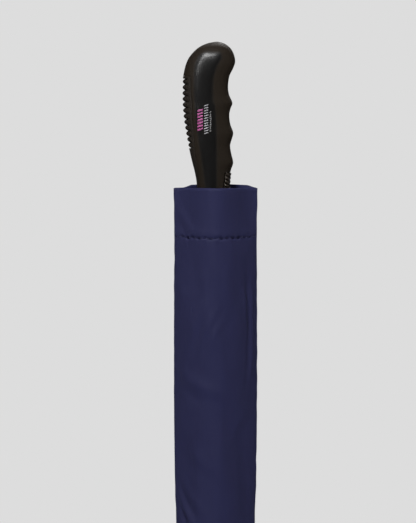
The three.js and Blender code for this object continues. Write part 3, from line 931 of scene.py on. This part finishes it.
# Heights of the cloth's relief in mm, from its long folds down to the dents of single stitches.
FOLDS, SMALL_FOLDS, SLANTED_FOLDS, CRUMPLES = 1.9, 0.8, 1.7, 0.45
CREASE_FACTOR = 1.25
PUCKERS, STITCH_LINE, STITCH_RIDGE = 0.62, 1.4, 0.35
GATHERS, GATHER_COUNT = 0.9, 16
EDGE_WAVE = 0.35
half_width_at = profile_through([
    (-57, 33.9), (-97, 33.3), (-150, 33.6), (-230, 33.7), (-300, 33), (-335, 32), (-430, 32.6),
    (-600, 32.4), (-760, 32.8), (-846, 33), (-882, 33)])
depth_at = profile_through([
    (-57, 25.4), (-97, 25.8), (-200, 26.4), (-400, 25.6), (-700, 25.8), (-882, 25.6)])


def sleeve_outline(share, z, side):
    """A point on the bag's section in mm. share runs from -1 at the left seam to 1 at the right.

    The section is a lens, pinched flat at the seams, and it closes to a circle at the eyelet.
    """
    draw = max(0.0, min(1.0, (SHOULDER - z) / (SHOULDER - SLEEVE_END)))
    ease = 1 - math.sqrt(max(0.0, 1 - draw * draw))
    half_width = mix(half_width_at(z), EYELET_OUT, ease)
    depth = mix(depth_at(z), EYELET_OUT - 0.6, ease)
    lens_radius = (half_width ** 2 + depth ** 2) / (2 * depth)
    x = half_width * math.sin(share * math.pi / 2)
    s = abs(x) / half_width
    lens = math.sqrt(max(0.0, lens_radius ** 2 - x * x)) - (lens_radius - depth)
    pinched = depth * (0.5 + 0.5 * math.cos(math.pi * min(1, s / 0.96))) ** 0.8
    pinch = mix(PINCH, RIM_PINCH, bell(z, SLEEVE_RIM, 40)) * (1 - ease)
    y = mix(lens, pinched, pinch)
    return Vector((SLEEVE_X * (1 - ease) + x, side * y, z))


def crease(x, z, start, end, width, sag=0.0):
    """A ridge with a hollow below it, along a line from start to end in (x, z). sag bows it."""
    run = Vector(end) - Vector(start)
    away = Vector((x, z)) - Vector(start)
    along = away.dot(run) / run.length_squared
    if not -0.4 < along < 1.4:
        return 0.0
    across = (away.x * run.y - away.y * run.x) / run.length
    across += sag * 4 * along * (1 - along)
    fade = smoothstep((along + 0.15) / 0.4) * smoothstep((1.15 - along) / 0.4)
    return fade * (bell(across, 0, width) - 0.8 * bell(across, 1.9 * width, 1.2 * width))


# Creases of the sleeve's front: start and end as (x, z), width, height, and how far each one bows.
FRONT_CREASES = [
    ((30.5, -132), (29, -215), 1.5, 0.95, 1.6),
    ((27, -138), (30.5, -176), 1.6, -0.6, 0),
    ((-14, -196), (5, -150), 2.6, 0.55, 3),
    ((-21, -188), (-2, -146), 2.8, 0.5, 3),
    ((-7, -193), (12, -158), 2.4, 0.4, 2),
    ((-31, -203), (12, -224), 4.6, 0.8, -5),
    ((-34, -296), (-16, -334), 2.4, 1.7, -2),
    ((-34, -312), (-22, -342), 1.9, 1.5, -1),
    ((-33, -282), (-9, -322), 3.4, 0.9, -3),
    ((-31, -73), (-17, -94), 3.4, 0.6, 0),
    ((14, -262), (31, -236), 3.2, 0.5, 2),
    ((-22, -262), (4, -292), 4.0, 0.5, -3),
]
BACK_CREASES = [
    ((-28, -120), (-2, -168), 3.4, 0.9, 4),
    ((8, -205), (30, -178), 3.0, 0.8, 3),
    ((-30, -262), (6, -240), 3.6, 0.8, -4),
    ((-6, -330), (28, -292), 3.4, 0.8, 4),
    ((30, -150), (28.5, -240), 1.6, 0.8, 1.5),
]
# Below this height the same creases come again, mirrored and then not, each time this far down.
CREASE_REPEAT_TOP, CREASE_REPEAT = -340, 290


def sleeve_wrinkle(x, z, side):
    """How far the cloth stands off its even section, in mm."""
    front = side < 0
    shift = 0 if front else 31.7
    folds = FOLDS * noise.noise(Vector((x / 21 + shift, 0.4 * side, z / 105)))
    folds += SMALL_FOLDS * noise.noise(Vector((x / 9 + shift, 3.3 * side, z / 38)))
    slanted = noise.noise(Vector(((x + 0.4 * z) / 24, 7 + side, (z - 0.3 * x) / 75)))
    crumples = noise.noise(Vector(((x + 0.5 * z) / 10, 11 + side, (z - 0.4 * x) / 17)))
    below_hem = smoothstep((HEM_STITCH + 4 - z) / 26)
    height = folds * mix(0.4, 1, below_hem) + SLANTED_FOLDS * slanted * below_hem
    height += CRUMPLES * crumples * mix(0.5, 1, below_hem)
    pucker = noise.noise(Vector((x / 3.0 + shift, side, z / 9)))
    height += PUCKERS * pucker * bell(z, HEM_STITCH, 5.5)
    line = HEM_STITCH + 0.5 * math.sin(0.63 * x + shift)
    height -= STITCH_LINE * bell(z, line, 1.2) * (0.58 + 0.42 * math.sin(1.35 * x + shift))
    height += STITCH_RIDGE * bell(z, HEM_STITCH + 4, 3)
    creases = FRONT_CREASES if front else BACK_CREASES
    repeats = range(1) if z > CREASE_REPEAT_TOP else range(1, 3)
    for repeat in repeats:
        drop = repeat * CREASE_REPEAT
        flip = 1 if repeat % 2 == 0 else -1
        for start, end, width, tall, sag in creases:
            height += CREASE_FACTOR * tall * crease(flip * x, z + drop, start, end, width, sag)
    return height


def sleeve_face(inset, height_at=None):
    """The bag's skin as a function of u, once round from the left seam, and v, from the top down.

    height_at(v) gives the height in mm. Without it, v runs over the rows of the whole bag.
    """
    def point(u, v):
        side = -1 if u < 0.5 else 1
        share = 4 * u - 1 if u < 0.5 else 3 - 4 * u
        z = height_at(v) if height_at else SLEEVE_ROWS[round(v * (len(SLEEVE_ROWS) - 1))]
        base = sleeve_outline(share, z, side)
        centre_share = 1 - abs(share) ** 4
        ease = max(0.0, min(1.0, (z - SLEEVE_END) / 30))
        height = sleeve_wrinkle(base.x, z, side) * centre_share * ease
        edge_wave = EDGE_WAVE * noise.noise(Vector((share * 2, 5, z / 11)))
        normal = Vector((base.x * 0.55, base.y, 0))
        if normal.length < 1e-6:
            normal = Vector((share, 0, 0))
        normal.normalize()
        gathered = smoothstep((SHOULDER + 30 - z) / 40) * (1 - smoothstep((SLEEVE_END + 8 - z) / 8))
        around = math.atan2(base.y, base.x - SLEEVE_X)
        height += GATHERS * gathered * math.cos(GATHER_COUNT * around)
        base += normal * (height + edge_wave * (1 - centre_share) * ease - inset)
        lift = bell(z, SLEEVE_RIM, 12)
        if side < 0:
            base.z += FRONT_LIFT * lift * (abs(base.y) / 25)
        else:
            flat_part = smoothstep((base.x + 26) / 8) * smoothstep((35 - base.x) / 9)
            base.z += BACK_LIFT * lift * flat_part
        return base * MM
    return point


def sleeve_rows():
    """Heights from the rim to the eyelet: close together at the hem's stitches and the shoulder."""
    spans = [(SLEEVE_RIM, -90, 2.4), (-90, -106, 0.5), (-106, SHOULDER, 3.6)]
    rows = []
    for top, end, pitch in spans:
        count = round((top - end) / pitch)
        rows += [mix(top, end, k / count) for k in range(count)]
    steps = 20
    rows += [SHOULDER + (SLEEVE_END - SHOULDER) * math.sin(math.pi / 2 * k / steps)
             for k in range(steps + 1)]
    return rows


SLEEVE_ROWS = sleeve_rows()


def bunches(obj):
    """Puts a piece of the sleeve on the sleeve's body, with a mesh of its own."""
    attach(obj, "sleeve")
    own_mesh(obj)


def make_sleeve():
    rows = len(SLEEVE_ROWS) - 1
    bag = joined("sleeve_bag", [
        sheet_part(SLEEVE_COLUMNS, rows, sleeve_face(0), sleeve_face(SLEEVE_THICKNESS), True)])
    finished(bag, sleeve_cloth, "sleeve_fabric", "sleeve_front", "sleeve_back")
    bunches(bag)
    make_hem_stitches()
    make_seams()

    def fold_height(v):
        return mix(SLEEVE_RIM + 0.3, HEM_STITCH - 1.5, v)

    fold_outer, fold_inner = sleeve_face(0.5, fold_height), sleeve_face(1, fold_height)
    fold = joined("sleeve_hem_fold", [
        sheet_part(SLEEVE_COLUMNS, 14, fold_outer, fold_inner, True)])
    finished(fold, sleeve_cloth, "sleeve_fabric", "sleeve_hem")
    bunches(fold)


def make_hem_stitches():
    """A row of short stitches through the hem, each one sunk at both ends."""
    skin = sleeve_face(-0.05, lambda v: HEM_STITCH)
    count, steps = 66, 4
    half_gap, radius, arch, sunk = 0.12, 0.17, 0.22, 0.1
    parts = []
    for k in range(count):
        start, end = (k + half_gap) / count, (k + 1 - half_gap) / count
        path = []
        for step in range(steps + 1):
            share = step / steps
            point = skin(mix(start, end, share), 0)
            radial = Vector((point.x, point.y, 0)).normalized()
            path.append(point + radial * (arch * math.sin(math.pi * share) - sunk) * MM)
        parts.append(tube_along(path, lambda share: radius * MM, 6))
    stitches = joined("hem_stitches", parts)
    finished(stitches, sewing_thread, "sleeve_fabric")
    bunches(stitches)
    return stitches


def make_seams():
    """The sewn edge down each side of the bag, as a narrow ridge that tapers at its end."""
    def seam_radius(share):
        return mix(SEAM_RADIUS, SEAM_END_RADIUS, smoothstep((share - 0.96) / 0.04)) * MM

    skin = sleeve_face(0)
    rows = len(SLEEVE_ROWS) - 1
    seams = []
    for name, u in (("seam_left", 0.0), ("seam_right", 0.5)):
        path = [skin(u, k / rows) for k in range(rows - 4)]
        seam = joined(name, [tube_along(path, seam_radius, 8)])
        finished(seam, sleeve_cloth, "sleeve_fabric")
        bunches(seam)
        seams.append(seam)
    return seams


def make_eyelet():
    """A rolled metal ring round the hole that the ferrule comes through."""
    radius, half_width, half_height = 10, 2.3, 0.95
    steps = 20
    section = []
    for k in range(steps):
        angle = 2 * math.pi * k / steps
        section.append((radius + half_width * math.cos(angle),
                        SLEEVE_END + half_height * math.sin(angle)))
    turned("eyelet_ring", section, eyelet_metal, "steel", "sleeve", "sleeve_eyelet")


make_eyelet()
make_sleeve()


# ---- floor, backdrop and light ----------------------------------------------------------------
STAGE_GLOW = 0.723
DOME_RADIUS, FLOOR_RADIUS, FLOOR_Z = 30, 28, -9


def stage_surface(name):
    """A surface that shows one even brightness, whatever light falls on it."""
    material = bpy.data.materials.new(name)
    material.use_nodes = True
    shader = material.node_tree.nodes["Principled BSDF"]
    shader.inputs["Base Color"].default_value = (0, 0, 0, 1)
    shader.inputs["Specular IOR Level"].default_value = 0
    shader.inputs["Roughness"].default_value = 1
    shader.inputs["Emission Color"].default_value = (STAGE_GLOW, STAGE_GLOW, STAGE_GLOW, 1)
    shader.inputs["Emission Strength"].default_value = 1
    return material


def make_stage():
    """The floor is far below, because the umbrella is held up and throws no shadow on it."""
    bpy.ops.mesh.primitive_uv_sphere_add(segments=64, ring_count=32, radius=DOME_RADIUS)
    dome = bpy.context.object
    bpy.ops.mesh.primitive_circle_add(vertices=96, radius=FLOOR_RADIUS, fill_type="NGON",
                                      location=(0, 0, FLOOR_Z))
    floor = bpy.context.object
    for name, surface in (("backdrop", dome), ("floor", floor)):
        surface.name = name
        surface.data.materials.append(stage_surface(name))
        for ray in ("visible_diffuse", "visible_glossy", "visible_transmission", "visible_shadow"):
            setattr(surface, ray, False)


def area_light(name, location, target, size, power, tint=(1, 1, 1)):
    data = bpy.data.lights.new(name, "AREA")
    data.shape = "RECTANGLE"
    data.size, data.size_y = size
    data.energy = power
    data.color = tint
    lamp = bpy.data.objects.new(name, data)
    bpy.context.scene.collection.objects.link(lamp)
    lamp.location = location
    lamp.rotation_euler = (Vector(target) - Vector(location)).to_track_quat("-Z", "Y").to_euler()
    return lamp


def make_lights():
    grip = (0, 0, -0.1)
    area_light("key", (-0.5, -1.75, 1.95), grip, (0.8, 0.5), 72)
    front = area_light("front", (1.3, -2.4, 0.9), (0, 0, -0.2), (2.0, 1.2), 16.5)
    front.visible_glossy = False
    area_light("side_left", (-2.0, -0.4, 0.1), grip, (0.4, 2.2), 5.5, (1, 0.88, 0.76))
    area_light("side_right", (2.0, -0.4, 0.1), grip, (0.4, 2.2), 7.5, (1, 0.88, 0.76))
    sheen = area_light("sheen", (-1.1, -1.7, 1.0), grip, (0.3, 1.0), 18)
    sheen.visible_diffuse = False
    area_light("low", (0, -1.8, -1.5), (0, 0, -0.6), (2.0, 1.0), 3)
    area_light("back_key", (0.5, 1.75, 1.95), grip, (0.5, 0.3), 60)
    back = area_light("back", (-1.0, 2.4, 0.6), (0, 0, -0.3), (2.0, 1.4), 24)
    back.visible_glossy = False
    under = area_light("under", (0, 0, -5), (0, 0, -1), (3.0, 3.0), 300)
    under.visible_glossy = False
    world = bpy.data.worlds.new("room")
    world.use_nodes = True
    background = world.node_tree.nodes["Background"]
    background.inputs["Color"].default_value = (0.9, 0.93, 1, 1)
    background.inputs["Strength"].default_value = 0.07
    bpy.context.scene.world = world
    bpy.context.scene.view_settings.view_transform = "Standard"


make_stage()
make_lights()
